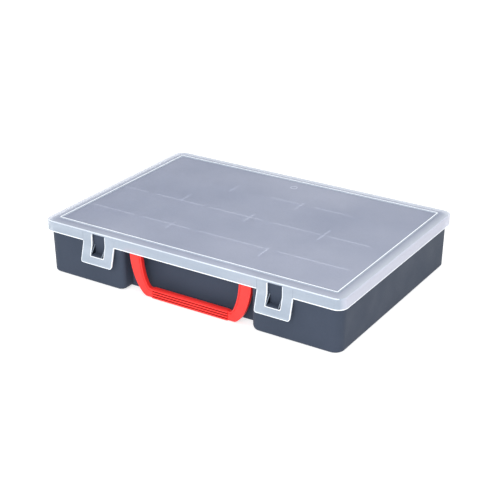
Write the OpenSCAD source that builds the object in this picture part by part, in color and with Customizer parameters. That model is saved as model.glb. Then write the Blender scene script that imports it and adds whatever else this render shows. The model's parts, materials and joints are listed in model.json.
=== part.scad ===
// Parts organizer case: tray, see-through snap lid with two latch tongues,
// swing handle, row walls and loose dividers.
// Origin: centre of the base, on the surface the case stands on. +X right, -Y front, +Z up.

/* [Case] */
// Width over the lid's skirt
lid_w = 400; // [380:1:420]
// Depth over the lid's skirt
lid_d = 278; // [268:1:290]
// Height from the base to the top of the stacking rib
total_h = 68; // [66:1:72]
// Corner radius of the lid, seen from above
lid_corner_r = 12; // [12:1:18]

/* [Lid] */
// Wall thickness of the lid's skirt
skirt_t = 2.2; // [2:0.1:2.4]
// Thickness of the lid's top plate
plate_t = 2; // [1.6:0.1:2.4]
// Height of the skirt, from the rib's top to its lower edge
skirt_drop = 14.6; // [14:0.1:16]
// Radius of the lid's top outer edge
lid_edge_r = 1.5; // [1:0.1:2]
// Height of the stacking rib above the plate
rib_h = 1.2; // [0.8:0.1:1.4]
// Width of the stacking rib
rib_w = 2.6; // [2:0.1:3]
// Distance from the lid's outer face to the middle of the stacking rib
rib_inset = 14.2; // [12:0.1:18]

/* [Tray] */
// Gap between the lid's outer face and the tray's rim
rim_inset = 3.3; // [3.2:0.1:3.6]
// How much further in the tray's wall stands at the base than at the rim
tray_draft = 1.3; // [0.8:0.1:1.8]
// Corner radius of the tray's rim
tray_corner_r = 13; // [11:1:15]
// Radius of the tray's bottom edge
tray_edge_r = 2.5; // [1.5:0.1:3]
// Least wall thickness of the tray
wall_t = 2.2; // [2:0.1:2.6]
// Thickness of the tray's floor
floor_t = 2.2; // [2:0.1:3]
// Gap between the tray's rim and the lid's plate
rim_gap = 0.5; // [0.3:0.1:0.8]

/* [Handle recess] */
// Width of the recess between its side walls
recess_w = 173; // [170:1:178]
// Distance from the lid's front face to the recess's back wall, at the base
recess_depth = 22.5; // [21:0.1:23]
// Radius of the recess's upright front edges
recess_edge_r = 6; // [4:0.5:8]
// Radius of the recess's lower corners, seen from the front
recess_foot_r = 6; // [4:0.5:8]

/* [Handle] */
// Width over the handle's legs
handle_w = 164; // [160:1:164]
// How far the handle sits to the right, with its side play taken up
handle_shift = 3.5; // [0:0.5:3.5]
// Width of a leg at its upper end
leg_w = 16; // [14:0.5:18]
// Thickness of a leg
leg_t = 6; // [5:0.5:6]
// Distance from the lid's front face to the handle's mid plane
handle_setback = 9.2; // [9:0.1:10]
// Height of the handle's pivot above the base
handle_pivot_z = 51.6; // [50:0.1:51.8]
// Height of the grip's lower edge above the base
grip_bottom = 0.4; // [0.3:0.1:2]
// Height of the grip
grip_h = 12.6; // [10:0.1:13]
// Length of the ribbed stretch of the grip
grip_len = 103; // [94:1:106]
// Thickness of the ribbed stretch
grip_t = 8; // [7:0.1:8.4]
// Number of ribs along the grip
grip_ribs = 4; // [3:1:5]
// Radius of the handle's pins
handle_pin_r = 2; // [1.8:0.1:2.2]

/* [Latches] */
// Distance from the middle of the case to the middle of a latch
latch_x = 118.5; // [115:0.5:125]
// Width of a latch tongue
latch_w = 44.5; // [40:0.5:48]
// Height of the tongue's lower edge above the base
latch_bottom = 28.7; // [27:0.1:30]
// Outward lean of the tongue's lower part, in degrees
latch_lean = 15.5; // [14:0.5:16]
// Bend radius between the upright and the leaning part
latch_bend_r = 15; // [12:1:18]
// Width of the window in a latch
window_w = 18.5; // [17:0.5:22]
// Height of the window's lower edge above the base
window_bottom = 38.2; // [38:0.1:39.5]
// Radius of the tongue's lower corners
latch_corner_r = 3; // [2:0.5:6]

/* [Hinge] */
// Radius of a hinge pin
pin_r = 2; // [1.8:0.1:2.2]
// Outer radius of a hinge knuckle
knuckle_r = 4; // [3.8:0.1:4.1]
// Width of a hinge knuckle
knuckle_w = 16; // [12:1:24]
// Distance between neighbouring hinges
hinge_pitch = 120; // [100:5:140]

/* [Dividers] */
// Thickness of a row wall
row_wall_t = 1.8; // [1.6:0.1:2.2]
// Thickness of a divider
divider_t = 1.6; // [1.4:0.1:1.8]
// Spacing of the divider slots along a row
slot_pitch = 33.3; // [33:0.1:34]

/* [Hidden] */
$fn = 48;
eps = 0.01;
over = 1;
play = 0.3;
running = 0.05;
arc_steps = 6;

// Lid
lid_hw = lid_w / 2;
lid_hd = lid_d / 2;
plate_top = total_h - rib_h;
plate_under = plate_top - plate_t;
skirt_bottom = total_h - skirt_drop;
rib_hw = lid_hw - rib_inset;
rib_hd = lid_hd - rib_inset;

// Tray
rim_z = plate_under - rim_gap;
tray_hw = lid_hw - rim_inset;
tray_hd = lid_hd - rim_inset;
inner_hw = tray_hw - tray_draft - wall_t;
inner_hd = tray_hd - tray_draft - wall_t;
inner_r = tray_corner_r - tray_draft - wall_t;
recess_hw = recess_w / 2;
recess_back = recess_depth - lid_hd;
recess_inner = recess_back + wall_t;

// Latches: the flex line runs through the middle of the tongue's top edge
flex_r = skirt_t / 2;
flex_y = flex_r - lid_hd;
flex_z = plate_under - play - flex_r;
bend_z = skirt_bottom;
bend_y = -lid_hd - latch_bend_r * (1 - cos(latch_lean));
bend_end_z = bend_z - latch_bend_r * sin(latch_lean);
tip_y = bend_y - (bend_end_z - latch_bottom) * tan(latch_lean);
window_y = bend_y - (bend_end_z - window_bottom) * tan(latch_lean);

// Catches behind the latch windows
catch_w = 16.8;
gusset_t = 1.2;
shelf_t = 1.5;
catch_gap = 0.6;
shelf_bottom = window_bottom + catch_gap;
shelf_proud = 0.8;
shelf_y = window_y - shelf_proud;
gusset_rise = 10.5;

// Handle
handle_y = handle_setback - lid_hd;
handle_hw = handle_w / 2;
leg_foot_x = 59.6;
inner_foot_x = 54.6;
bow_x = 1.28;
bow_z = 1.15;
rib_groove = 1;
pin_proud = 0.6;
handle_pin_end = recess_hw + wall_t + pin_proud;
boss_r = 4.5;
boss_t = 1.4;

// Hinge
hinge_y = lid_hd + skirt_t;
hinge_rise = 2.8;
hinge_z = skirt_bottom + hinge_rise;
hinge_x = [-hinge_pitch, 0, hinge_pitch];
bore_r = pin_r + running;
lug_r = 3.2;
lug_t = 4;
lug_gap = 0.4;
lug_root = 13;
notch_rise = 3.7;
notch_top = hinge_z + notch_rise;
clip_mouth = 3.2;
open_stop = 110;
heel_lead = 25;
heel_r = 1;

// Dividers
row_clear = (2 * inner_hd - 3 * row_wall_t) / 4;
row_y = row_clear + row_wall_t;
wall_drop = 0.6;
wall_top = rim_z - wall_drop;
guide_w = 1.2;
guide_out = 1;
guide_slack = 0.4;
guide_slots = 5;
side_slot_first = 3;
front_slots = [-2, 2];
third_slots = [-3, 0, 3];
back_slots = [-2, 1];
divider_slack = 0.2;

tray_color = [0.24, 0.27, 0.32];
lid_color = [0.82, 0.86, 0.92, 0.5];
handle_color = [0.93, 0.18, 0.16];
divider_color = [0.28, 0.31, 0.36];

// A leg's edge from its foot at the grip up to the pivot: a quarter of a flattened ellipse
function leg_edge(foot_x, top_x, foot_z, top_z) =
    [for (i = [0:2 * arc_steps]) let (a = 90 * (1 - i / (2 * arc_steps)))
        [foot_x + (top_x - foot_x) * pow(cos(a), bow_x), top_z - (top_z - foot_z) * pow(sin(a), bow_z)]];

function reversed(list) = [for (i = [len(list) - 1:-1:0]) list[i]];

// A straight prism whose section is mirrored about its middle; side lists [inset, height]
module slab(half, half_len, side) {
    right = [for (p = side) [half - p[0], p[1]]];
    left = reversed([for (p = side) [p[0] - half, p[1]]]);
    rotate([90, 0, 0])
        linear_extrude(height = 2 * half_len, center = true)
            polygon(concat(right, left));
}

// A block with drafted walls and round upright corners; side lists [inset, height] upwards
module moulded_block(hw, hd, corner_r, side) {
    last = len(side) - 1;
    turned = [for (p = side) [corner_r - p[0], p[1]]];
    slab(hw, hd - corner_r, side);
    rotate([0, 0, 90])
        slab(hd, hw - corner_r, side);
    for (sx = [-1, 1], sy = [-1, 1])
        translate([sx * (hw - corner_r), sy * (hd - corner_r), 0])
            rotate_extrude()
                polygon(concat([[0, side[0][1]]], turned, [[0, side[last][1]]]));
}

// A flat outline with round corners
module round_rect(hw, hd, r) {
    square([2 * (hw - r), 2 * hd], center = true);
    square([2 * hw, 2 * (hd - r)], center = true);
    for (sx = [-1, 1], sy = [-1, 1])
        translate([sx * (hw - r), sy * (hd - r)])
            circle(r);
}

// What is left of a square corner when it is rounded
module fillet_corner(r) {
    difference() {
        translate([-eps, -eps])
            square(r + eps);
        translate([r, r])
            circle(r);
    }
}

// The handle recess, as the space cut out of the tray's front
module recess_space() {
    front = -lid_hd - over;
    back = recess_back;
    translate([0, 0, -over])
        linear_extrude(height = total_h) {
            translate([-recess_hw, front])
                square([recess_w, back - front]);
            for (s = [0, 1])
                mirror([s, 0, 0])
                    translate([recess_hw, -tray_hd + tray_draft / 2])
                        fillet_corner(recess_edge_r);
        }
    for (s = [0, 1])
        mirror([s, 0, 0])
            translate([recess_hw, back, 0])
                rotate([90, 0, 0])
                    linear_extrude(height = back - front)
                        fillet_corner(recess_foot_r);
}

// Pairs of upright guide ribs along X that hold dividers at every slot
module guide_pairs(y, facing, slots) {
    gap = divider_t + guide_slack;
    for (i = slots, s = [-1, 1])
        translate([i * slot_pitch + s * (gap + guide_w) / 2, y + facing * guide_out / 2])
            square([guide_w, guide_out + eps], center = true);
}

function side_slots() = [for (i = [-guide_slots:guide_slots]) if (abs(i) >= side_slot_first) i];
function all_slots() = [for (i = [-guide_slots:guide_slots]) i];
function recess_slots() = [for (i = [1 - side_slot_first:side_slot_first - 1]) i];

// Inside of the tray seen from above, with everything that stands out of its walls
module inside_plan() {
    gap = row_wall_t + guide_slack;
    difference() {
        round_rect(inner_hw, inner_hd, inner_r);
        translate([-recess_hw - wall_t, -lid_hd])
            square([recess_w + 2 * wall_t, recess_inner + lid_hd]);
        guide_pairs(inner_hd, -1, all_slots());
        guide_pairs(-inner_hd, 1, side_slots());
        guide_pairs(recess_inner, 1, recess_slots());
        for (sx = [-1, 1], row = [-1, 0, 1], s = [-1, 1])
            translate([sx * (inner_hw - guide_out / 2), row * row_y + s * (gap + guide_w) / 2])
                square([guide_out + eps, guide_w], center = true);
    }
}

// A catch: two sloping gussets and the shelf that the latch hooks under
module catch() {
    wall_y = -tray_hd + tray_draft - wall_t / 2;
    top = shelf_bottom + shelf_t;
    for (s = [-1, 1])
        translate([s * (catch_w - gusset_t) / 2, 0, 0])
            rotate([90, 0, 90])
                linear_extrude(height = gusset_t, center = true)
                    polygon([[wall_y + wall_t, shelf_bottom], [shelf_y, shelf_bottom],
                             [shelf_y, top], [wall_y, top + gusset_rise],
                             [wall_y + wall_t, top + gusset_rise]]);
    translate([-catch_w / 2, shelf_y, shelf_bottom])
        cube([catch_w, wall_y + wall_t - shelf_y, shelf_t]);
}

// A pair of hinge lugs with the pin moulded between them
module hinge_pin() {
    inside = knuckle_w / 2 + lug_gap;
    root_y = tray_hd - wall_t;
    for (s = [-1, 1])
        translate([s * (inside + lug_t / 2), 0, 0])
            rotate([90, 0, 90]) {
                linear_extrude(height = lug_t, center = true) {
                    translate([hinge_y, hinge_z])
                        circle(lug_r);
                    polygon([[root_y, hinge_z + lug_r], [hinge_y, hinge_z + lug_r],
                             [hinge_y + lug_r, hinge_z], [tray_hd, hinge_z - lug_root],
                             [root_y, hinge_z - lug_root]]);
                }
            }
    translate([-inside - eps, hinge_y, hinge_z])
        rotate([0, 90, 0])
            cylinder(h = 2 * (inside + eps), r = pin_r);
}

module tray_body() {
    foot = [for (a = [0:90 / arc_steps:90])
        [tray_draft + tray_edge_r * (1 - sin(a)), tray_edge_r * (1 - cos(a))]];
    difference() {
        moulded_block(tray_hw, tray_hd, tray_corner_r, concat(foot, [[0, rim_z]]));
        recess_space();
        translate([0, 0, floor_t])
            linear_extrude(height = total_h)
                inside_plan();
    }
}

module tray() {
    color(tray_color)
        difference() {
            union() {
                tray_body();
                for (s = [-1, 1])
                    translate([s * latch_x, 0, 0])
                        catch();
                for (x = hinge_x)
                    translate([x, 0, 0])
                        hinge_pin();
                for (s = [-1, 1])
                    translate([s * (recess_hw + wall_t - eps), handle_y, handle_pivot_z])
                        rotate([0, s * 90, 0])
                            cylinder(h = boss_t, r = boss_r);
            }
            for (s = [-1, 1])
                translate([s * (recess_hw - over), handle_y, handle_pivot_z])
                    rotate([0, s * 90, 0])
                        cylinder(h = wall_t + boss_t + 2 * over, r = handle_pin_r + running);
        }
}

// A snap knuckle: open below so that it clips over the pin, with the heel that stops the lid
module knuckle() {
    reach = (hinge_y - tray_hd - play - heel_r) / cos(heel_lead);
    lean = open_stop + heel_lead;
    heel_y = hinge_y - reach * cos(lean);
    heel_z = hinge_z - reach * sin(lean);
    rotate([90, 0, 90])
        linear_extrude(height = knuckle_w, center = true)
            difference() {
                union() {
                    translate([hinge_y, hinge_z])
                        circle(knuckle_r);
                    translate([lid_hd - skirt_t / 2, hinge_z])
                        square([hinge_y - lid_hd + skirt_t / 2, knuckle_r]);
                    translate([heel_y, heel_z])
                        circle(heel_r);
                    polygon([[hinge_y + pin_r, hinge_z], [hinge_y + knuckle_r, hinge_z],
                             [heel_y + heel_r, heel_z], [heel_y, heel_z - heel_r],
                             [hinge_y + pin_r, hinge_z - knuckle_r + heel_r]]);
                }
                translate([hinge_y, hinge_z])
                    circle(bore_r);
                translate([hinge_y - clip_mouth / 2, hinge_z - 2 * knuckle_r])
                    square([clip_mouth, 2 * knuckle_r]);
            }
}

module lid() {
    inside = knuckle_w / 2 + lug_gap;
    top_edge = [for (a = [0:90 / arc_steps:90])
        [lid_edge_r * (1 - cos(a)), plate_top - lid_edge_r * (1 - sin(a))]];
    slot_w = latch_w + 2 * play;
    color(lid_color) {
        difference() {
            moulded_block(lid_hw, lid_hd, lid_corner_r, concat([[0, skirt_bottom]], top_edge));
            translate([0, 0, skirt_bottom - over])
                linear_extrude(height = plate_under - skirt_bottom + over)
                    round_rect(lid_hw - skirt_t, lid_hd - skirt_t, lid_corner_r - skirt_t);
            for (s = [-1, 1])
                translate([s * latch_x - slot_w / 2, -lid_hd - over, skirt_bottom - over])
                    cube([slot_w, skirt_t + 2 * over, plate_under - skirt_bottom + over]);
            for (x = hinge_x, s = [-1, 1])
                translate([x + s * (inside + lug_t / 2), lid_hd - skirt_t / 2, skirt_bottom])
                    cube([lug_t + 2 * lug_gap, 2 * skirt_t, 2 * (notch_top - skirt_bottom)], center = true);
        }
        difference() {
            translate([-rib_hw - rib_w / 2, -rib_hd - rib_w / 2, plate_top - eps])
                cube([2 * rib_hw + rib_w, 2 * rib_hd + rib_w, rib_h + eps]);
            translate([-rib_hw + rib_w / 2, -rib_hd + rib_w / 2, plate_top - over])
                cube([2 * rib_hw - rib_w, 2 * rib_hd - rib_w, rib_h + 2 * over]);
        }
        for (x = hinge_x)
            translate([x, 0, 0])
                knuckle();
    }
}

// One latch tongue: two side straps and the bar that hooks under the catch
module latch() {
    outer = concat([[-lid_hd, flex_z]], [for (i = [0:arc_steps]) let (a = latch_lean * i / arc_steps)
        [-lid_hd - latch_bend_r * (1 - cos(a)), bend_z - latch_bend_r * sin(a)]], [[tip_y, latch_bottom]]);
    inner = [for (p = outer) [p[0] + skirt_t, p[1]]];
    drop = plate_under - latch_bottom;
    intersection() {
        union() {
            rotate([90, 0, 90])
                linear_extrude(height = latch_w, center = true)
                    polygon(concat(outer, reversed(inner)));
            translate([-latch_w / 2, flex_y, flex_z])
                rotate([0, 90, 0])
                    cylinder(h = latch_w, r = flex_r);
        }
        translate([0, 0, latch_bottom])
            rotate([90, 0, 0])
                linear_extrude(height = 4 * lid_hd, center = true)
                    difference() {
                        union() {
                            translate([-latch_w / 2, latch_corner_r])
                                square([latch_w, drop]);
                            translate([-latch_w / 2 + latch_corner_r, 0])
                                square([latch_w - 2 * latch_corner_r, drop]);
                            for (s = [-1, 1])
                                translate([s * (latch_w / 2 - latch_corner_r), latch_corner_r])
                                    circle(latch_corner_r);
                        }
                        translate([-window_w / 2, window_bottom - latch_bottom])
                            square([window_w, drop]);
                    }
    }
}

module latch_left() {
    color(lid_color)
        translate([-latch_x, 0, 0])
            latch();
}

module latch_right() {
    color(lid_color)
        translate([latch_x, 0, 0])
            latch();
}

// Outline of the handle, seen from the front
module handle_outline() {
    top = handle_pivot_z;
    inner_top = handle_hw - leg_w;
    right = leg_edge(leg_foot_x, handle_hw, grip_bottom, top);
    left = reversed([for (p = right) [-p[0], p[1]]]);
    hole_right = leg_edge(inner_foot_x, inner_top, grip_bottom + grip_h, top);
    hole_left = reversed([for (p = hole_right) [-p[0], p[1]]]);
    difference() {
        polygon(concat(right, left));
        polygon(concat(hole_right, [[inner_top, top + over], [-inner_top, top + over]], hole_left));
    }
}

module handle() {
    groove_pitch = grip_h / grip_ribs;
    inner_top = handle_hw - leg_w;
    color(handle_color) {
        translate([handle_shift, handle_y, 0])
            rotate([90, 0, 0])
                linear_extrude(height = leg_t, center = true)
                    handle_outline();
        difference() {
            translate([handle_shift - grip_len / 2, handle_y - grip_t / 2, grip_bottom])
                cube([grip_len, grip_t, grip_h]);
            for (i = [1:grip_ribs - 1], s = [-1, 1])
                translate([handle_shift, handle_y + s * grip_t / 2, grip_bottom + i * groove_pitch])
                    cube([grip_len + 2 * over, rib_groove, rib_groove], center = true);
        }
        for (s = [-1, 1])
            translate([handle_shift + s * inner_top, handle_y, handle_pivot_z])
                rotate([0, s * 90, 0]) {
                    cylinder(h = leg_w, r = leg_t / 2);
                    cylinder(h = handle_pin_end - s * handle_shift - inner_top, r = handle_pin_r);
                }
    }
}

// A plain wall along a row
module row_wall(row) {
    color(divider_color)
        translate([0, row * row_y, (floor_t + wall_top) / 2])
            cube([2 * (inner_hw - divider_slack), row_wall_t, wall_top - floor_t], center = true);
}

// The guide ribs that stand on both faces of a row wall
module row_guides(row) {
    face = (row_wall_t + eps) / 2;
    color(divider_color)
        translate([0, row * row_y, floor_t])
            linear_extrude(height = wall_top - floor_t) {
                guide_pairs(face, 1, all_slots());
                guide_pairs(-face, -1, all_slots());
            }
}

module row_wall_front() {
    row_wall(-1);
}

module row_wall_middle() {
    row_wall(0);
}

module row_wall_back() {
    row_wall(1);
}

module row_guides_front() {
    row_guides(-1);
}

module row_guides_middle() {
    row_guides(0);
}

module row_guides_back() {
    row_guides(1);
}

// A loose divider in the given slot, from y0 to y1
module divider(slot, y0, y1) {
    color(divider_color)
        translate([slot * slot_pitch - divider_t / 2, y0 + divider_slack, floor_t])
            cube([divider_t, y1 - y0 - 2 * divider_slack, wall_top - floor_t]);
}

module divider_front_left() {
    divider(front_slots[0], recess_inner, -row_y - row_wall_t / 2);
}

module divider_front_right() {
    divider(front_slots[1], recess_inner, -row_y - row_wall_t / 2);
}

module divider_third_left() {
    divider(third_slots[0], row_wall_t / 2, row_y - row_wall_t / 2);
}

module divider_third_middle() {
    divider(third_slots[1], row_wall_t / 2, row_y - row_wall_t / 2);
}

module divider_third_right() {
    divider(third_slots[2], row_wall_t / 2, row_y - row_wall_t / 2);
}

module divider_back_left() {
    divider(back_slots[0], row_y + row_wall_t / 2, inner_hd);
}

module divider_back_right() {
    divider(back_slots[1], row_y + row_wall_t / 2, inner_hd);
}

tray();
lid();
latch_left();
latch_right();
handle();
row_wall_front();
row_wall_middle();
row_wall_back();
row_guides_front();
row_guides_middle();
row_guides_back();
divider_front_left();
divider_front_right();
divider_third_left();
divider_third_middle();
divider_third_right();
divider_back_left();
divider_back_right();
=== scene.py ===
"""Looks of the parts organizer: frosted snap lid, anthracite tray, red handle and loose dividers.

Lengths are in millimetres until a mesh is made; Blender's objects are in metres, in the CAD frame."""

import json
import math

import bmesh
import bpy
from mathutils import Matrix, Vector


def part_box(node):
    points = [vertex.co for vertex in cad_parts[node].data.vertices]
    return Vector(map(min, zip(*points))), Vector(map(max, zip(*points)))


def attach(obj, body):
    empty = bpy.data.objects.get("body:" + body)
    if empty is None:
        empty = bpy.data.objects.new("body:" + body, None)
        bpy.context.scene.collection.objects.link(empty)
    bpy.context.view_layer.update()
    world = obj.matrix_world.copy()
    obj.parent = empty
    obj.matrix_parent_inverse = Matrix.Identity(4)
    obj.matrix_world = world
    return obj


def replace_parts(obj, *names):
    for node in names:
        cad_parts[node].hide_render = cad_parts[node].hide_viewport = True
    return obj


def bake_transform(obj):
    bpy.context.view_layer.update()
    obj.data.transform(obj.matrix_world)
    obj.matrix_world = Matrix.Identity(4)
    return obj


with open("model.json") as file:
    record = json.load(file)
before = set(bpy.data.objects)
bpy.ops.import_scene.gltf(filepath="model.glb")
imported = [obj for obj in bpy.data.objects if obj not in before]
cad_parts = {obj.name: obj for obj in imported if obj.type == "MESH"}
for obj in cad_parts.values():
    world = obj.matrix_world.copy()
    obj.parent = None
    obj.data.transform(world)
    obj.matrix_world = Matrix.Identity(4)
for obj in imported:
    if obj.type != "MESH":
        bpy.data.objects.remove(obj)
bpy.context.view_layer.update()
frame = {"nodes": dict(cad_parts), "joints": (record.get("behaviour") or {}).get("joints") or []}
scene = bpy.context.scene
TO_M = 0.001
MERGE_DIST = 2e-6
SHARP_ANGLE = math.radians(35)
FACE_AREA_WEIGHT = 60

# ---------------------------------------------------------------- sizes from the CAD frame


def box_mm(node):
    lo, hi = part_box(node)
    return lo / TO_M, hi / TO_M


joint_at = {j["name"]: Vector(j["pos_m"]) / TO_M for j in frame["joints"]}
lid_lo, lid_hi = box_mm("lid")
tray_lo, tray_hi = box_mm("tray")
latch_lo, latch_hi = box_mm("latch_right")
handle_lo, handle_hi = box_mm("handle")
hinge = joint_at["lid_hinge"]
pivot = joint_at["handle_swing"]

LID_HW = lid_hi.x
LID_HD = -lid_lo.y
TOP = lid_hi.z
RIM = tray_hi.z
TRAY_HW = tray_hi.x
TRAY_HD = LID_HD - (LID_HW - TRAY_HW)

RIB_H = 1.2
RIB_W = 2.6
RIB_INSET = 14.2
RIB_FOOT_R = 1.2
SKIRT_DROP = 14.6
PLATE_T = 2.0
SKIRT_T = 2.2
LID_R = 12.0
LID_EDGE_R = 1.5
SKIRT_HIGHLIGHT_STRIP = 1.3
PLATE_TOP = TOP - RIB_H
PLATE_UNDER = PLATE_TOP - PLATE_T
SKIRT_BOTTOM = TOP - SKIRT_DROP

DRAFT = 1.3
WALL = 2.2
FLOOR = 2.2
TRAY_R = 13.0
FOOT_R = 2.5
RECESS_HW = 86.5
RECESS_Y = -116.5
POD_R = 6.0
INNER_POD_R = 3.4
FLOOR_R = 1.4
RIM_R_OUT = 0.6
RIM_R_IN = 0.5
WALL_HEIGHTS = (14.0, 30.0, 46.0)
BORE_R = 2.08
BOSS_R = 4.5
IN_HW = TRAY_HW - DRAFT - WALL
IN_HD = TRAY_HD - DRAFT - WALL

LATCH_X = (latch_lo.x + latch_hi.x) / 2
LATCH_W = latch_hi.x - latch_lo.x
LATCH_BOTTOM = latch_lo.z
LATCH_R = 3.0
TONGUE_T = 2.1
TONGUE_EDGE_R = 0.35
TONGUE_BORDER = 0.45
LEAN = math.radians(15.5)
BEND_R = 15.0
WINDOW_W = 18.5
WINDOW_Z = 38.2
WINDOW_R = 0.9
PROUD = 0.05

# ---------------------------------------------------------------- mesh helpers


def fillet_path(corners):
    """Closed outline through (x, y, radius, steps) corners, each rounded with steps + 1 points."""
    out = []
    for k, (x, y, r, n) in enumerate(corners):
        p = Vector((x, y))
        u = (Vector(corners[k - 1][:2]) - p).normalized()
        v = (Vector(corners[(k + 1) % len(corners)][:2]) - p).normalized()
        if n == 0:
            out.append(p)
            continue
        half = math.acos(max(-1.0, min(1.0, u.dot(v)))) / 2
        tangent = r / math.tan(half)
        centre = p + (u + v).normalized() * (r / math.sin(half))
        a, b = p + u * tangent - centre, p + v * tangent - centre
        sweep = a.angle_signed(b)
        for i in range(n + 1):
            spin = -sweep * i / n
            out.append(centre + Matrix.Rotation(spin, 2) @ a)
    return out


def inset(outline, d):
    """The outline moved inwards by d; the outline runs counter-clockwise."""
    out = []
    for i, p in enumerate(outline):
        e0 = (p - outline[i - 1]).normalized()
        e1 = (outline[(i + 1) % len(outline)] - p).normalized()
        n0 = Vector((-e0.y, e0.x))
        m = (n0 + Vector((-e1.y, e1.x))).normalized()
        out.append(p + m * (d / max(0.35, m.dot(n0))))
    return out


def loft(bm, rings, closed=False, slots=None):
    """Quads between rings of the same length, with flat caps unless the rings close on themselves.
    slots gives each strip's material slot."""
    made = [[bm.verts.new(p) for p in ring] for ring in rings]
    pairs = list(zip(made, made[1:]))
    if closed:
        pairs.append((made[-1], made[0]))
    for k, (a, b) in enumerate(pairs):
        for i in range(len(a)):
            j = (i + 1) % len(a)
            bm.faces.new((a[i], a[j], b[j], b[i])).material_index = slots[k] if slots else 0
    if not closed:
        bm.faces.new(made[0][::-1])
        bm.faces.new(made[-1])


def prism(bm, outline, w0, w1, r=0.3, steps=2, place=None, lip=0.0, side_slot=0):
    """An extruded outline with round edges. place(u, v, w) puts a point in the frame.
    lip is a flat border round both ends, in the sides' material slot."""
    place = place or (lambda u, v, w: (u, v, w))
    levels = [(r + lip, w0)] if lip else []
    for k in range(steps + 1):
        a = math.pi / 2 * k / steps
        levels.append((r * (1 - math.sin(a)), w0 + r * (1 - math.cos(a))))
    levels += [(d, w1 + w0 - w) for d, w in reversed(levels)]
    loft(bm, [[place(p.x, p.y, w) for p in inset(outline, d)] for d, w in levels],
         slots=[side_slot] * len(levels))


def box_outline(x0, y0, x1, y1, r=0.3, n=2):
    return fillet_path([(x0, y0, r, n), (x1, y0, r, n), (x1, y1, r, n), (x0, y1, r, n)])


def bar(bm, lo, hi, r=0.3):
    """A straight bar between two corners, with round edges."""
    prism(bm, box_outline(lo[0], lo[1], hi[0], hi[1], r), lo[2], hi[2], r)


def along_x(u, v, w):
    return (w, u, v)


def rod(bm, x0, x1, y, z, r, n=32, edge=0.3):
    ring = [Vector((y + r * math.cos(t), z + r * math.sin(t)))
            for t in (2 * math.pi * i / n for i in range(n))]
    prism(bm, ring, x0, x1, edge, place=along_x)


def to_object(name, bm):
    """A mesh object in metres from bm in millimetres, with clean normals."""
    bmesh.ops.recalc_face_normals(bm, faces=bm.faces)
    bm.transform(Matrix.Scale(TO_M, 4))
    me = bpy.data.meshes.new(name)
    bm.to_mesh(me)
    bm.free()
    ob = bpy.data.objects.new(name, me)
    scene.collection.objects.link(ob)
    return ob


def cut_away(ob, tool):
    """Cuts tool out of ob. The tool is then removed."""
    mod = ob.modifiers.new("cut", "BOOLEAN")
    mod.operation = "DIFFERENCE"
    mod.solver = "EXACT"
    mod.object = tool
    bpy.context.view_layer.update()
    done = bpy.data.meshes.new_from_object(ob.evaluated_get(bpy.context.evaluated_depsgraph_get()))
    ob.modifiers.clear()
    ob.data = done
    bpy.data.objects.remove(tool)


def finish_mesh(ob, materials, body):
    """Shading, materials, and the body that the piece rides on, if it rides on just one."""
    bm = bmesh.new()
    bm.from_mesh(ob.data)
    bmesh.ops.remove_doubles(bm, verts=bm.verts, dist=MERGE_DIST)
    bm.to_mesh(ob.data)
    bm.free()
    for m in materials:
        ob.data.materials.append(m)
    ob.data.shade_smooth()
    ob.data.set_sharp_from_angle(angle=SHARP_ANGLE)
    weighted = ob.modifiers.new("weighted", "WEIGHTED_NORMAL")
    weighted.keep_sharp = True
    weighted.weight = FACE_AREA_WEIGHT
    if body:
        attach(ob, body)
    return ob


# ---------------------------------------------------------------- materials


def new_material(name):
    mat = bpy.data.materials.new(name)
    mat.use_nodes = True
    nodes = mat.node_tree.nodes
    shader = next(n for n in nodes if n.type == "BSDF_PRINCIPLED")
    return mat, nodes, mat.node_tree.links, shader


def noise(nodes, links, coords, scale, detail=2.0, stretch=None):
    """A noise texture in object space, stretched along an axis if asked."""
    tex = nodes.new("ShaderNodeTexNoise")
    tex.inputs["Scale"].default_value = scale
    tex.inputs["Detail"].default_value = detail
    source = coords
    if stretch:
        mapping = nodes.new("ShaderNodeMapping")
        mapping.inputs["Scale"].default_value = stretch
        links.new(coords, mapping.inputs["Vector"])
        source = mapping.outputs["Vector"]
    links.new(source, tex.inputs["Vector"])
    return tex.outputs["Fac"]


def remap(nodes, links, value, low, high, start=0.3, end=0.7):
    node = nodes.new("ShaderNodeMapRange")
    for socket, number in (("From Min", start), ("From Max", end), ("To Min", low), ("To Max", high)):
        node.inputs[socket].default_value = number
    links.new(value, node.inputs["Value"])
    return node.outputs["Result"]


def blend_colours(nodes, links, fac, a, b):
    node = nodes.new("ShaderNodeMix")
    node.data_type = "RGBA"
    node.inputs["A"].default_value = (*a, 1)
    node.inputs["B"].default_value = (*b, 1)
    links.new(fac, node.inputs["Factor"])
    return node.outputs["Result"]


def bump(nodes, links, height, strength, distance, after=None):
    node = nodes.new("ShaderNodeBump")
    node.inputs["Strength"].default_value = strength
    node.inputs["Distance"].default_value = distance
    links.new(height, node.inputs["Height"])
    if after:
        links.new(after, node.inputs["Normal"])
    return node.outputs["Normal"]


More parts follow.
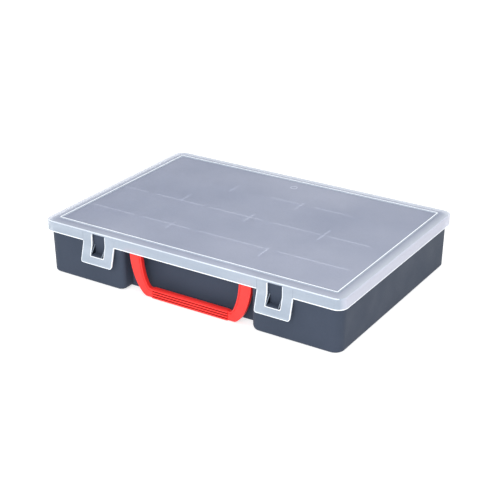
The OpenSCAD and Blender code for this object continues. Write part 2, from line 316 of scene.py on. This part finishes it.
def moulded(name, dark, light, rough, grain, grain_scale=1500, alpha=1.0, specular=0.5, flow=(1, 1, 1),
            edge=None, ior=1.5, cloud_scale=14):
    """Injection-moulded plastic: cloudy pigment, fine spark-eroded grain, uneven gloss.
    edge is (colour, (reach, most) along x, the same along y): painted light, the colour paling towards the
    lid's rim to stand in for light piped to its edges and caught there."""
    mat, nodes, links, shader = new_material(name)
    coords = nodes.new("ShaderNodeTexCoord").outputs["Object"]
    cloud = noise(nodes, links, coords, cloud_scale, 5, flow)
    speck = noise(nodes, links, coords, 420, 2)
    colour = blend_colours(nodes, links, remap(nodes, links, cloud, 0, 1), dark, light)
    # Painted light: the colour pales towards the lid's rim in place of light piped to and caught at its
    # edges.
    if edge:
        colour = painted_light_to_rim(nodes, links, coords, colour, *edge)
    tint = nodes.new("ShaderNodeMix")
    tint.data_type = "RGBA"
    tint.blend_type = "MULTIPLY"
    tint.inputs["Factor"].default_value = 1.0
    links.new(colour, tint.inputs["A"])
    links.new(blend_colours(nodes, links, remap(nodes, links, speck, 0, 1),
                            (0.96, 0.96, 0.96), (1, 1, 1)), tint.inputs["B"])
    links.new(tint.outputs["Result"], shader.inputs["Base Color"])
    gloss = noise(nodes, links, coords, 30, 4, flow)
    links.new(remap(nodes, links, gloss, rough[0], rough[1]), shader.inputs["Roughness"])
    wave = bump(nodes, links, noise(nodes, links, coords, 22, 1, flow), 0.25, 0.0006)
    fine = bump(nodes, links, noise(nodes, links, coords, grain_scale, 2), grain, 0.00012, wave)
    links.new(fine, shader.inputs["Normal"])
    shader.inputs["IOR"].default_value = ior
    shader.inputs["Specular IOR Level"].default_value = specular
    shader.inputs["Alpha"].default_value = alpha
    return mat


def painted_light_to_rim(nodes, links, coords, colour, pale, along_x_axis, along_y_axis):
    """Mixes colour towards pale over the last millimetres before the lid's sides, up to a share at the side
    itself. This is painted light, standing in for light piped to the rim and caught there."""
    split = nodes.new("ShaderNodeSeparateXYZ")
    links.new(coords, split.inputs["Vector"])
    shares = []
    for axis, half, (reach, most) in (("X", LID_HW, along_x_axis), ("Y", LID_HD, along_y_axis)):
        size = nodes.new("ShaderNodeMath")
        size.operation = "ABSOLUTE"
        links.new(split.outputs[axis], size.inputs[0])
        shares.append(remap(nodes, links, size.outputs[0], 0, most, (half - reach) * TO_M, half * TO_M))
    fac = nodes.new("ShaderNodeMath")
    fac.operation = "MAXIMUM"
    links.new(shares[0], fac.inputs[0])
    links.new(shares[1], fac.inputs[1])
    node = nodes.new("ShaderNodeMix")
    node.data_type = "RGBA"
    links.new(fac.outputs[0], node.inputs["Factor"])
    links.new(colour, node.inputs["A"])
    node.inputs["B"].default_value = (*pale, 1)
    return node.outputs["Result"]


LID_GRAIN = 900

TRAY_MAT = moulded("anthracite_pp", (0.041, 0.053, 0.078), (0.048, 0.060, 0.088), (0.46, 0.58), 0.5,
                   specular=0.22, ior=1.30)
# Painted shade: the catch's gusset faces are near black to stand in for the shadow in the cavity behind the
# latch window.
CATCH_PAINTED_SHADE_MAT = moulded("catch_painted_shade_pp", (0.008, 0.012, 0.020), (0.012, 0.017, 0.027), (0.5, 0.6), 0.5,
                    specular=0.2, ior=1.36)
# Painted highlight: the catch's gusset edges are a paler anthracite, standing in for light caught along them.
CATCH_EDGE_HIGHLIGHT_MAT = moulded("catch_edge_painted_highlight_pp", (0.13, 0.16, 0.20), (0.17, 0.20, 0.25), (0.4, 0.5), 0.3)
DIVIDER_MAT = moulded("divider_pp", (0.075, 0.095, 0.130), (0.088, 0.110, 0.148), (0.40, 0.52), 0.4,
                      specular=0.36)
# Painted shade: a darker red for the grip's grooves, standing in for the shade that falls in them.
RED_GROOVE_SHADE_MAT = moulded("handle_groove_painted_shade_pp", (0.40, 0.010, 0.008), (0.46, 0.015, 0.012), (0.45, 0.55), 0.35,
                         specular=0.2)
RED_MAT = moulded("handle_red_pp", (0.82, 0.023, 0.018), (0.87, 0.030, 0.024), (0.34, 0.46), 0.35,
                  specular=0.4)
# Painted light: the plate pales towards its rim, in place of light piped to the edges and caught there.
PLATE_MAT = moulded("frosted_plate", (0.385, 0.425, 0.560), (0.520, 0.555, 0.685), (0.34, 0.44), 0.30,
                    grain_scale=LID_GRAIN, alpha=0.42, edge=((0.80, 0.85, 0.93), (13.0, 1.0), (15.0, 0.45)),
                    cloud_scale=7)
# Painted light: the skirt pales towards the lid's left and right sides, in place of light caught there.
SKIRT_MAT = moulded("frosted_skirt", (0.365, 0.425, 0.51), (0.49, 0.55, 0.635), (0.26, 0.38), 0.30,
                    grain_scale=LID_GRAIN, alpha=0.66, flow=(0.5, 0.5, 3),
                    edge=((0.67, 0.68, 0.79), (5.0, 1.0), (1.0, 0.0)))
# Painted highlight: a near-white copy of the lid plastic for edges that catch light: the rib's crest, the
# skirt's lower rim and the latch tongues' outlines.
EDGE_HIGHLIGHT_MAT = moulded("frosted_edge_painted_highlight", (0.84, 0.88, 0.93), (0.92, 0.95, 0.99), (0.22, 0.32), 0.20,
                   grain_scale=LID_GRAIN, alpha=0.97)
# Painted highlight: a paler copy of the lid plastic for the line of light along the lid's front top edge.
TOP_EDGE_HIGHLIGHT_MAT = moulded("frosted_top_edge_painted_highlight", (0.62, 0.68, 0.77), (0.80, 0.85, 0.92), (0.24, 0.34), 0.20,
                       grain_scale=LID_GRAIN, alpha=0.80)
# Painted highlight: near-white ribs under the lid, standing in for glints where the row walls and dividers
# meet it.
SEAL_HIGHLIGHT_MAT = moulded("frosted_seal_painted_highlight", (0.80, 0.84, 0.92), (0.95, 0.97, 1.0), (0.30, 0.40), 0.30,
                   grain_scale=LID_GRAIN, alpha=0.85)
GATE_MAT = moulded("frosted_gate", (0.50, 0.54, 0.66), (0.58, 0.62, 0.74), (0.30, 0.40), 0.30,
                   grain_scale=LID_GRAIN, alpha=0.55)
LID_MATS = [PLATE_MAT, SKIRT_MAT, EDGE_HIGHLIGHT_MAT, TOP_EDGE_HIGHLIGHT_MAT]
PLATE, SKIRT, EDGE_HIGHLIGHT, TOP_EDGE_HIGHLIGHT = range(4)

# ---------------------------------------------------------------- tray shell


def tray_ring(d, z, recess_hw, recess_y, radius, inner=False):
    hw, hd = (IN_HW - d, IN_HD - d) if inner else (TRAY_HW - d, TRAY_HD - d)
    tight, wide = (radius, 1.6) if inner else (1.6, radius)
    corner = max(0.8, (TRAY_R - DRAFT - WALL if inner else TRAY_R) - d)
    path = fillet_path([
        (-hw, -hd, corner, 10), (-recess_hw, -hd, wide, 6), (-recess_hw, recess_y, tight, 6),
        (recess_hw, recess_y, tight, 6), (recess_hw, -hd, wide, 6), (hw, -hd, corner, 10),
        (hw, hd, corner, 10), (-hw, hd, corner, 10)])
    return [(p.x, p.y, z) for p in path]


def foot(z, r):
    """How far a surface rounded with radius r at its lower edge stands back at height z."""
    return r - math.sqrt(max(0.0, r * r - (r - z) ** 2)) if z < r else 0.0


def tray_shell():
    bm = bmesh.new()
    rings = []
    panel = 0.7
    for d, z in ((9.5, panel), (8.8, panel - 0.1), (8.2, 0.1), (7.6, 0)):
        rings.append(tray_ring(d + DRAFT, z, RECESS_HW + POD_R + d, RECESS_Y + 1 + d, 2.0))
    heights = [FOOT_R * (1 - math.cos(math.pi / 2 * k / 6)) for k in range(7)]
    heights += [3.2, 4.0, 5.0, 6.0, *WALL_HEIGHTS]
    for z in heights:
        lean = DRAFT * (1 - max(0.0, z - FOOT_R) / (RIM - FOOT_R))
        rings.append(tray_ring(lean + foot(z, FOOT_R), z, RECESS_HW + foot(z, POD_R),
                               RECESS_Y + foot(z, 1.0), POD_R))
    for k in range(4):
        a = math.pi / 2 * k / 3
        d = RIM_R_OUT * (1 - math.cos(a))
        rings.append(tray_ring(d, RIM - RIM_R_OUT * (1 - math.sin(a)), RECESS_HW + d, RECESS_Y + d, POD_R))
    in_hw, in_y = RECESS_HW + WALL, RECESS_Y + WALL
    for k in range(4):
        a = math.pi / 2 * k / 3
        d = RIM_R_IN * (1 - math.sin(a))
        rings.append(tray_ring(-d, RIM - RIM_R_IN * (1 - math.cos(a)), in_hw - d, in_y - d,
                               INNER_POD_R, True))
    for z in reversed(WALL_HEIGHTS):
        rings.append(tray_ring(0, z, in_hw, in_y, INNER_POD_R, True))
    for k in range(5):
        a = math.pi / 2 * k / 4
        d = FLOOR_R * (1 - math.cos(a))
        rings.append(tray_ring(d, FLOOR + FLOOR_R * (1 - math.sin(a)), in_hw + d, in_y + d,
                               INNER_POD_R, True))
    loft(bm, rings)
    ob = to_object("tray_shell", bm)
    holes = bmesh.new()
    for s in (-1, 1):
        x0, x1 = sorted((s * (RECESS_HW - 2), s * (RECESS_HW + WALL + 2)))
        rod(holes, x0, x1, pivot.y, pivot.z, BORE_R, edge=0.01)
    cut_away(ob, to_object("holes", holes))
    return ob


SLOT_PITCH = 33.3
DIVIDER_T = 1.6
ROW_T = 1.8
row_lo, row_hi = box_mm("row_wall_back")
ROW_Y = (row_lo.y + row_hi.y) / 2
GUIDE_W = 1.2
GUIDE_OUT = 1.0
GAP = DIVIDER_T + 0.4


def guides(bm, y, facing, slots, z1):
    """Pairs of upright ribs along X that hold dividers, rounded and embedded in the wall."""
    for i in slots:
        for s in (-1, 1):
            x = i * SLOT_PITCH + s * (GAP + GUIDE_W) / 2
            y0, y1 = sorted((y - facing * 0.3, y + facing * GUIDE_OUT))
            bar(bm, (x - GUIDE_W / 2, y0, FLOOR - 0.2), (x + GUIDE_W / 2, y1, z1), 0.25)


def tray_guides():
    bm = bmesh.new()
    top = RIM - 1.2
    guides(bm, IN_HD, -1, range(-5, 6), top)
    guides(bm, -IN_HD, 1, [-5, -4, -3, 3, 4, 5], top)
    guides(bm, RECESS_Y + WALL, 1, range(-2, 3), top)
    row_gap = ROW_T + 0.4
    for sx in (-1, 1):
        for row in (-1, 0, 1):
            for s in (-1, 1):
                y = row * ROW_Y + s * (row_gap + GUIDE_W) / 2
                x0, x1 = sorted((sx * (IN_HW + 0.3), sx * (IN_HW - GUIDE_OUT)))
                bar(bm, (x0, y - GUIDE_W / 2, FLOOR - 0.2), (x1, y + GUIDE_W / 2, top), 0.25)
    return to_object("tray_guides", bm)


CATCH_W = 16.8
GUSSET_T = 1.2
GUSSET_RISE = 10.5
GUSSET_TOP = 0.9
SHELF_T = 1.5
SHELF_GAP = 0.6
CATCH_EMBED = 0.6


def catch(name, x):
    """The catch behind a latch's window: two sloping gussets and a shelf. The gussets' flat faces are near
    black, painted shade for the cavity behind the window, and their edges are paler, a painted highlight.
    """
    bm = bmesh.new()
    shelf_z = WINDOW_Z + SHELF_GAP
    shelf_top = shelf_z + SHELF_T
    shelf_y = tray_lo.y
    wall_y = -TRAY_HD + DRAFT * (shelf_z / RIM) + CATCH_EMBED
    side = [Vector(p) for p in ((wall_y, shelf_z), (wall_y, shelf_top + GUSSET_RISE),
                                (wall_y - GUSSET_TOP, shelf_top + GUSSET_RISE),
                                (shelf_y, shelf_top), (shelf_y, shelf_z))]
    for s in (-1, 1):
        w = x + s * (CATCH_W - GUSSET_T) / 2
        prism(bm, side, w - GUSSET_T / 2, w + GUSSET_T / 2, 0.2, place=along_x, side_slot=1)
    gussets = len(bm.faces)
    bar(bm, (x - CATCH_W / 2, shelf_y, shelf_z), (x + CATCH_W / 2, wall_y, shelf_top), 0.25)
    bm.faces.ensure_lookup_table()
    for f in bm.faces[gussets:]:
        f.material_index = 2
    return to_object(name, bm)


HINGE_X = (-120.0, 0.0, 120.0)
KNUCKLE_W = 16.0
LUG_T = 4.0
LUG_R = 3.2
LUG_DROP = 13
PIN_R = 2.0
KNUCKLE_R = 4
KNUCKLE_BORE = 2.05
MOUTH_HALF = 1.6
LUG_IN = KNUCKLE_W / 2 + 0.4


def hinge_lugs():
    bm = bmesh.new()
    y, z, r = hinge.y, hinge.z, LUG_R
    root = TRAY_HD - 1.4
    profile = [Vector((root, z - LUG_DROP)), Vector((TRAY_HD - 0.2, z - LUG_DROP))]
    profile += [Vector((y + r * math.cos(a), z + r * math.sin(a)))
                for a in (math.radians(t) for t in range(-40, 91, 10))]
    profile += [Vector((root, z + r))]
    for x in HINGE_X:
        for s in (-1, 1):
            w0, w1 = sorted((x + s * LUG_IN, x + s * (LUG_IN + LUG_T)))
            prism(bm, profile, w0, w1, 0.35, place=along_x)
        rod(bm, x - LUG_IN - 1, x + LUG_IN + 1, y, z, PIN_R)
    return to_object("hinge_lugs", bm)


def handle_bosses():
    """Collars round the handle's pins, on the inside of the recess walls."""
    bm = bmesh.new()
    for s in (-1, 1):
        rings = []
        x0 = RECESS_HW + WALL
        for r, dx in ((BORE_R, -0.4), (BORE_R, 1.2), (2.3, 1.4), (4.2, 1.4), (BOSS_R, 1.1), (BOSS_R, -0.4)):
            rings.append([(s * (x0 + dx), pivot.y + r * math.cos(t), pivot.z + r * math.sin(t))
                          for t in (2 * math.pi * i / 32 for i in range(32))])
        loft(bm, rings, closed=True)
    return to_object("handle_bosses", bm)


# ---------------------------------------------------------------- lid


def lid_ring(hw, hd, r, z, n=8):
    path = fillet_path([(-hw, -hd, r, n), (hw, -hd, r, n), (hw, hd, r, n), (-hw, hd, r, n)])
    return [(p.x, p.y, z) for p in path]


def arc(n):
    return [math.pi / 2 * k / n for k in range(n + 1)]


def knuckle_outline():
    """Clip-on knuckle: a ring open below, with the arm to the lid's back wall as its upper side."""
    y, z = hinge.y, hinge.z
    mouth = math.asin(MOUTH_HALF / KNUCKLE_R)
    inner_mouth = math.asin(MOUTH_HALF / KNUCKLE_BORE)
    outer = [Vector((y + KNUCKLE_R * math.cos(a), z + KNUCKLE_R * math.sin(a)))
             for a in (math.radians(-90) + mouth + t * (math.radians(180) - mouth) / 14
                       for t in range(15))]
    arm = [Vector((LID_HD - 0.3, z + KNUCKLE_R)), Vector((LID_HD - 0.3, z - MOUTH_HALF)),
           Vector((LID_HD + 0.4, z - MOUTH_HALF))]
    back = [Vector((y + KNUCKLE_R * math.cos(a), z + KNUCKLE_R * math.sin(a)))
            for a in (math.radians(205 + t * 4) for t in range(11))]
    back = [p for p in back if LID_HD + 0.5 < p.x < y - MOUTH_HALF]
    inner = [Vector((y + KNUCKLE_BORE * math.cos(a), z + KNUCKLE_BORE * math.sin(a)))
             for a in (math.radians(270) - inner_mouth - t * (math.radians(360) - 2 * inner_mouth) / 24
                       for t in range(25))]
    return outer + arm + back + inner


def lid_body():
    bm = bmesh.new()
    rings, slots = [], []

    def ring(d, z, slot, r=None):
        rings.append(lid_ring(LID_HW - d, LID_HD - d, LID_R - d if r is None else r, z))
        slots.append(slot)

    for a in arc(4):
        ring(SKIRT_T + 1.0 * (1 - math.sin(a)), PLATE_UNDER - 1.0 * (1 - math.cos(a)), SKIRT)
    # Painted highlight: the skirt's lower rim and a strip up its outer face take the near-white edge
    # material, in place of light caught in the translucent edge.
    for a in arc(3):
        ring(SKIRT_T - 0.5 * (1 - math.cos(a)), SKIRT_BOTTOM + 0.5 * (1 - math.sin(a)), EDGE_HIGHLIGHT)
    for a in arc(3):
        ring(0.6 * (1 - math.sin(a)), SKIRT_BOTTOM + 0.6 * (1 - math.cos(a)), EDGE_HIGHLIGHT)
    ring(0, SKIRT_BOTTOM + SKIRT_HIGHLIGHT_STRIP, SKIRT)
    # Painted highlight: part of the outer top radius takes the pale top-edge material, for light caught along
    # the edge.
    for a in arc(6):
        ring(LID_EDGE_R * (1 - math.cos(a)), PLATE_TOP - LID_EDGE_R * (1 - math.sin(a)),
             TOP_EDGE_HIGHLIGHT if 0.5 < a < 1.4 else SKIRT)
    slots[-1] = PLATE
    half = RIB_W / 2
    profile = [(half + 0.25, 0), (half, 0.08), (0.95, 0.55), (0.62, RIB_H - 0.15), (0.35, RIB_H)]
    profile += [(-d, z) for d, z in reversed(profile)]
    # Painted highlight: the rib's crest takes the near-white edge material, for the light it catches.
    for k, (d, z) in enumerate(profile):
        ring(RIB_INSET - d, PLATE_TOP + z, EDGE_HIGHLIGHT if 3 <= k <= 5 else SKIRT, max(0.3, RIB_FOOT_R + d))
    slots[-1] = PLATE
    loft(bm, rings, slots=slots)
    # The painted top-edge highlight stays on the front only; elsewhere those faces go back to the skirt
    # colour.
    for f in bm.faces:
        mid = f.calc_center_median()
        if f.material_index == TOP_EDGE_HIGHLIGHT and mid.y > -LID_HD + 2.5:
            f.material_index = SKIRT
    ob = to_object("lid_shell", bm)

    cut = bmesh.new()
    slot_hw = LATCH_W / 2 + 0.12
    for s in (-1, 1):
        x = s * LATCH_X
        bar(cut, (x - slot_hw, -LID_HD - 2, SKIRT_BOTTOM - 2),
            (x + slot_hw, -LID_HD + SKIRT_T + 0.6, PLATE_UNDER), 0.1)
    for x in HINGE_X:
        for s in (-1, 1):
            mid = x + s * (LUG_IN + LUG_T / 2)
            bar(cut, (mid - LUG_T / 2 - 0.4, LID_HD - SKIRT_T - 0.6, SKIRT_BOTTOM - 2),
                (mid + LUG_T / 2 + 0.4, LID_HD + 2, hinge.z + 3.7), 0.3)
    cut_away(ob, to_object("cuts", cut))
    return ob


def lid_knuckles():
    bm = bmesh.new()
    outline = knuckle_outline()
    for x in HINGE_X:
        prism(bm, outline, x - KNUCKLE_W / 2, x + KNUCKLE_W / 2, 0.2, 1, place=along_x)
    return to_object("lid_knuckles", bm)


# Lengths of the seal ribs as (row, from x, to x), and of the cross ribs as (x, from y, to y)
SEAL_RUNS = ((-1, -184, -122), (-1, -108, -40), (-1, -28, 64), (-1, 78, 168),
             (0, -186, -150), (0, -138, -66), (0, -58, 18), (0, 32, 96), (0, 106, 160),
             (1, -12, 30), (1, 50, 104))
CROSS_RUNS = ((-100, 0, 22), (0, -14, 12), (100, -16, 16), (33, 48, 72), (-66, 56, 78),
              (-66, -80, -58), (66, -88, -64))
GATE_AT = (-1.0, 105.0)


def lid_seals():
    """Low broken ribs under the plate, over the row walls and some dividers, and the plate's gate mark. The
    ribs are near white, a painted highlight for the glints where the walls and dividers meet the lid.
    """
    bm = bmesh.new()
    z0, z1 = PLATE_UNDER - 0.4, PLATE_UNDER - 0.02
    for row, x0, x1 in SEAL_RUNS:
        bar(bm, (x0, row * ROW_Y - 0.7, z0), (x1, row * ROW_Y + 0.7, z1), 0.15)
    for x, y0, y1 in CROSS_RUNS:
        bar(bm, (x - 0.9, y0, z0), (x + 0.9, y1, z1), 0.15)
    ribs = len(bm.faces)
    turn = [2 * math.pi * i / 40 for i in range(40)]
    section = ((3.4, 0.01), (3.5, 0.14), (3.7, 0.18), (4.3, 0.18), (4.5, 0.14), (4.6, 0.01))
    loft(bm, [[(GATE_AT[0] + r * math.cos(t), GATE_AT[1] + r * math.sin(t), PLATE_TOP + h) for t in turn]
              for r, h in section], closed=True)
    bm.faces.ensure_lookup_table()
    for f in bm.faces[ribs:]:
        f.material_index = 1
    return to_object("lid_seals", bm)


# ---------------------------------------------------------------- latch tongues


def tongue_y(z):
    """Outer face of a tongue: upright, then bent, then leaning outwards."""
    face = -LID_HD - PROUD
    drop = SKIRT_BOTTOM - z
    if drop <= 0:
        return face, 0.0
    if drop < BEND_R * math.sin(LEAN):
        return face - (BEND_R - math.sqrt(BEND_R ** 2 - drop ** 2)), math.asin(drop / BEND_R)
    end = BEND_R * math.sin(LEAN)
    return face - BEND_R * (1 - math.cos(LEAN)) - (drop - end) * math.tan(LEAN), LEAN


def tongue(name, x):
    bm = bmesh.new()
    hw, ww, top = LATCH_W / 2, WINDOW_W / 2, PLATE_UNDER - 0.05
    outline = fillet_path([
        (-hw, LATCH_BOTTOM, LATCH_R, 8), (hw, LATCH_BOTTOM, LATCH_R, 8), (hw, top, 0.1, 1), (ww, top, 0.1, 1),
        (ww, WINDOW_Z, WINDOW_R, 4), (-ww, WINDOW_Z, WINDOW_R, 4), (-ww, top, 0.1, 1), (-hw, top, 0.1, 1)])
    # Painted highlight: the tongue's sides and a flat border round both faces take the near-white edge
    # material (slot 1), for light caught on its edges.
    prism(bm, outline, 0, TONGUE_T, TONGUE_EDGE_R, 3, lip=TONGUE_BORDER, side_slot=1)
    cuts = [30, 33, 36, 38, 40, 44, 48] + [49.4 + k for k in range(5)] + [56, 58, 60, 62, 64]
    for z in cuts:
        bmesh.ops.bisect_plane(bm, geom=bm.verts[:] + bm.edges[:] + bm.faces[:], dist=1e-4,
                               plane_co=(0, z, 0), plane_no=(0, 1, 0))
    # Above the skirt's lower edge and away from the window, the painted highlight goes back to the skirt
    # colour.
    for f in bm.faces:
        mid = f.calc_center_median()
        if mid.y > SKIRT_BOTTOM and abs(mid.x) > ww + 1:
            f.material_index = 0
    for v in bm.verts:
        u, z, t = v.co
        y, tilt = tongue_y(z)
        v.co = (x + u, y + t * math.cos(tilt), z + t * math.sin(tilt))
    return to_object(name, bm)


# ---------------------------------------------------------------- handle

GRIP_Z0 = handle_lo.z
GRIP_H = 12.6
GRIP_HW = 51.5
GRIP_RIBS = 4
BAR_Z0 = GRIP_Z0 + 0.8
BAR_Z1 = GRIP_Z0 + GRIP_H - 0.6
LEG_W = 16.0
LEG_HALF_T = 3.0
# Exponents that bow a leg in width and in height
BOW_X = 1.28
BOW_Z = 1.15
FOOT_X = 59.6
INNER_FOOT_X = 54.6
HANDLE_HW = 82.0
MID_X = pivot.x


def leg_point(foot_x, top_x, foot_z, a):
    return Vector((foot_x + (top_x - foot_x) * max(0.0, math.cos(a)) ** BOW_X,
                   pivot.z - (pivot.z - foot_z) * math.sin(a) ** BOW_Z))


def leg_section(outer, inner, squeeze=1.0):
    """Section between the outer and the inner edge: flat face, with a thin groove along the inner edge."""
    across = inner - outer
    w = across.length
    d = across / w
    t = LEG_HALF_T
    front = [(0.9, -t), (w - 2.9, -t), (w - 2.65, -t + 0.15), (w - 2.5, -t + 0.7), (w - 2.1, -t + 0.7),
             (w - 1.95, -t + 0.25), (w - 1.7, -t + 0.1), (w - 0.6, -t + 0.1), (w - 0.15, -t + 0.35),
             (w, -t + 0.9)]
    rear = [(w, t - 1.2), (w - 0.35, t - 0.35), (w - 1.2, t), (1.2, t), (0.35, t - 0.35), (0, t - 1.2)]
    close = [(0, -t + 0.9), (0.26, -t + 0.26)]
    out = []
    for s, y in front + rear + close:
        p = outer + d * s
        out.append((p.x, y * squeeze, p.y))
    return out


def handle_bar():
    bm = bmesh.new()
    half = []
    steps = 26
    outer_top, inner_top = Vector((HANDLE_HW, pivot.z)), Vector((HANDLE_HW - LEG_W, pivot.z))
    for k in range(5, 0, -1):
        a = math.radians(84) * k / 5
        lift = Vector((0, LEG_HALF_T * math.sin(a)))
        half.append(leg_section(outer_top + lift, inner_top + lift, math.cos(a)))
    for k in range(steps + 1):
        a = math.pi / 2 * k / steps
        half.append(leg_section(leg_point(FOOT_X, HANDLE_HW, BAR_Z0, a),
                                leg_point(INNER_FOOT_X, HANDLE_HW - LEG_W, BAR_Z1, a)))
    for x, squeeze in ((GRIP_HW + 0.2, 1.0), (GRIP_HW - 0.8, 0.6), (GRIP_HW / 2, 0.6)):
        half.append(leg_section(Vector((x, BAR_Z0)), Vector((x, BAR_Z1)), squeeze))
    rings = half + [[(-p[0], p[1], p[2]) for p in ring] for ring in reversed(half)]
    loft(bm, [[(p[0] + MID_X, p[1] + pivot.y, p[2]) for p in ring] for ring in rings])
    pitch = GRIP_H / GRIP_RIBS
    side = []
    for k in range(GRIP_RIBS):
        z0 = GRIP_Z0 + k * pitch
        for t, out in ((0.04, 1.9), (0.13, 2.1), (0.21, 3.7), (0.34, 4.0), (0.66, 4.0), (0.79, 3.7),
                       (0.87, 2.1), (0.96, 1.9)):
            side.append((out, z0 + t * pitch))
    right = [Vector((o, z)) for o, z in side]
    left = [Vector((-o, z)) for o, z in reversed(side)]
    prism(bm, [Vector((v.x + pivot.y, v.y)) for v in right + left], MID_X - GRIP_HW, MID_X + GRIP_HW,
          0.5, 3, place=along_x)
    # Painted shade: faces inside the grip's grooves take the darker red (slot 1).
    for f in bm.faces:
        mid = f.calc_center_median() - Vector((MID_X, pivot.y, 0))
        in_groove = 0.5 < abs(mid.y) < 3.2 and GRIP_Z0 + 1 < mid.z < GRIP_Z0 + GRIP_H - 1
        if in_groove and abs(mid.x) < GRIP_HW - 0.6:
            f.material_index = 1
    for s in (-1, 1):
        tip = handle_hi.x if s > 0 else -handle_lo.x
        x0, x1 = sorted((MID_X + s * (HANDLE_HW - LEG_W + 2), s * tip))
        rod(bm, x0, x1, pivot.y, pivot.z, PIN_R)
    return to_object("handle_bar", bm)


# ---------------------------------------------------------------- row walls and dividers


def row_wall(node):
    lo, hi = box_mm(node)
    y = (lo.y + hi.y) / 2
    bm = bmesh.new()
    bar(bm, (lo.x, y - ROW_T / 2, lo.z), (hi.x, y + ROW_T / 2, hi.z), 0.4)
    for facing in (-1, 1):
        guides(bm, y + facing * ROW_T / 2, facing, range(-5, 6), hi.z - 0.8)
    return to_object(node + "_strip", bm)


def divider(node):
    lo, hi = box_mm(node)
    bm = bmesh.new()
    bar(bm, lo, hi, 0.35)
    return to_object(node + "_plate", bm)


# ---------------------------------------------------------------- build

shell = finish_mesh(tray_shell(), [TRAY_MAT], "tray")
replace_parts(shell, "tray")
for piece in (tray_guides(), hinge_lugs(), handle_bosses()):
    finish_mesh(piece, [TRAY_MAT], "tray")
for side, x in (("left", -LATCH_X), ("right", LATCH_X)):
    finish_mesh(catch("catch_" + side, x), [CATCH_PAINTED_SHADE_MAT, CATCH_EDGE_HIGHLIGHT_MAT, TRAY_MAT], "tray")

lid = finish_mesh(lid_body(), LID_MATS, "lid")
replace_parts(lid, "lid")
finish_mesh(lid_knuckles(), [SKIRT_MAT], "lid")
finish_mesh(lid_seals(), [SEAL_HIGHLIGHT_MAT, GATE_MAT], "lid")

for side, x in (("left", -LATCH_X), ("right", LATCH_X)):
    piece = tongue("tongue_" + side, x)
    finish_mesh(piece, [SKIRT_MAT, EDGE_HIGHLIGHT_MAT], None)
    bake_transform(piece)
    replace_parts(piece, "latch_" + side)

bar_piece = finish_mesh(handle_bar(), [RED_MAT, RED_GROOVE_SHADE_MAT], "handle")
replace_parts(bar_piece, "handle")

for node in sorted(frame["nodes"]):
    if node.startswith("row_wall"):
        strip = finish_mesh(row_wall(node), [DIVIDER_MAT], "tray")
        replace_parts(strip, node, node.replace("row_wall", "row_guides"))
    elif node.startswith("divider"):
        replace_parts(finish_mesh(divider(node), [DIVIDER_MAT], "tray"), node)

# ---------------------------------------------------------------- floor, light, camera


def stage():
    bm = bmesh.new()
    for x, y in ((-6, -6), (6, -6), (6, 6), (-6, 6)):
        bm.verts.new((x, y, 0))
    bm.faces.new(bm.verts)
    me = bpy.data.meshes.new("floor")
    bm.to_mesh(me)
    bm.free()
    floor = bpy.data.objects.new("floor", me)
    scene.collection.objects.link(floor)
    floor.location.z = -0.0003
    mat, _, _, shader = new_material("floor_white")
    shader.inputs["Base Color"].default_value = (0.60, 0.60, 0.60, 1)
    shader.inputs["Roughness"].default_value = 0.9
    shader.inputs["Specular IOR Level"].default_value = 0.1
    shader.inputs["Emission Color"].default_value = (1, 1, 1, 1)
    shader.inputs["Emission Strength"].default_value = 0.62
    floor.data.materials.append(mat)


def softbox(name, at, toward, size, power):
    data = bpy.data.lights.new(name, "AREA")
    data.shape = "RECTANGLE"
    data.size, data.size_y = size
    data.energy = power
    ob = bpy.data.objects.new(name, data)
    scene.collection.objects.link(ob)
    ob.location = at
    ob.rotation_mode = "QUATERNION"
    ob.rotation_quaternion = (Vector(toward) - Vector(at)).to_track_quat("-Z", "Y")


stage()
world = bpy.data.worlds.new("studio")
scene.world = world
world.use_nodes = True
back = world.node_tree.nodes["Background"]
back.inputs["Color"].default_value = (0.97, 0.985, 1.0, 1)
back.inputs["Strength"].default_value = 0.92
softbox("key", (0.45, -1.95, 1.0), (0, 0, 0.03), (1.3, 1.0), 26)
softbox("side", (1.8, -0.5, 0.9), (0.1, 0, 0.03), (0.8, 1.2), 0.2)
softbox("top", (0.2, 0.0, 2.2), (0, 0, 0.03), (2.0, 2.0), 18)

CAM_AT = Vector((0.699, -1.105, 0.620))
YAW, PITCH = math.radians(32.31), math.radians(24.59)
camera = bpy.data.objects.new("camera", bpy.data.cameras.new("camera"))
scene.collection.objects.link(camera)
camera.location = CAM_AT
look = Vector((-math.sin(YAW) * math.cos(PITCH), math.cos(YAW) * math.cos(PITCH), -math.sin(PITCH)))
camera.rotation_mode = "QUATERNION"
camera.rotation_quaternion = look.to_track_quat("-Z", "Y")
camera.data.sensor_width = 36.0
camera.data.lens = 86.1
camera.data.clip_start = 0.01
scene.camera = camera
scene.view_settings.view_transform = "Standard"
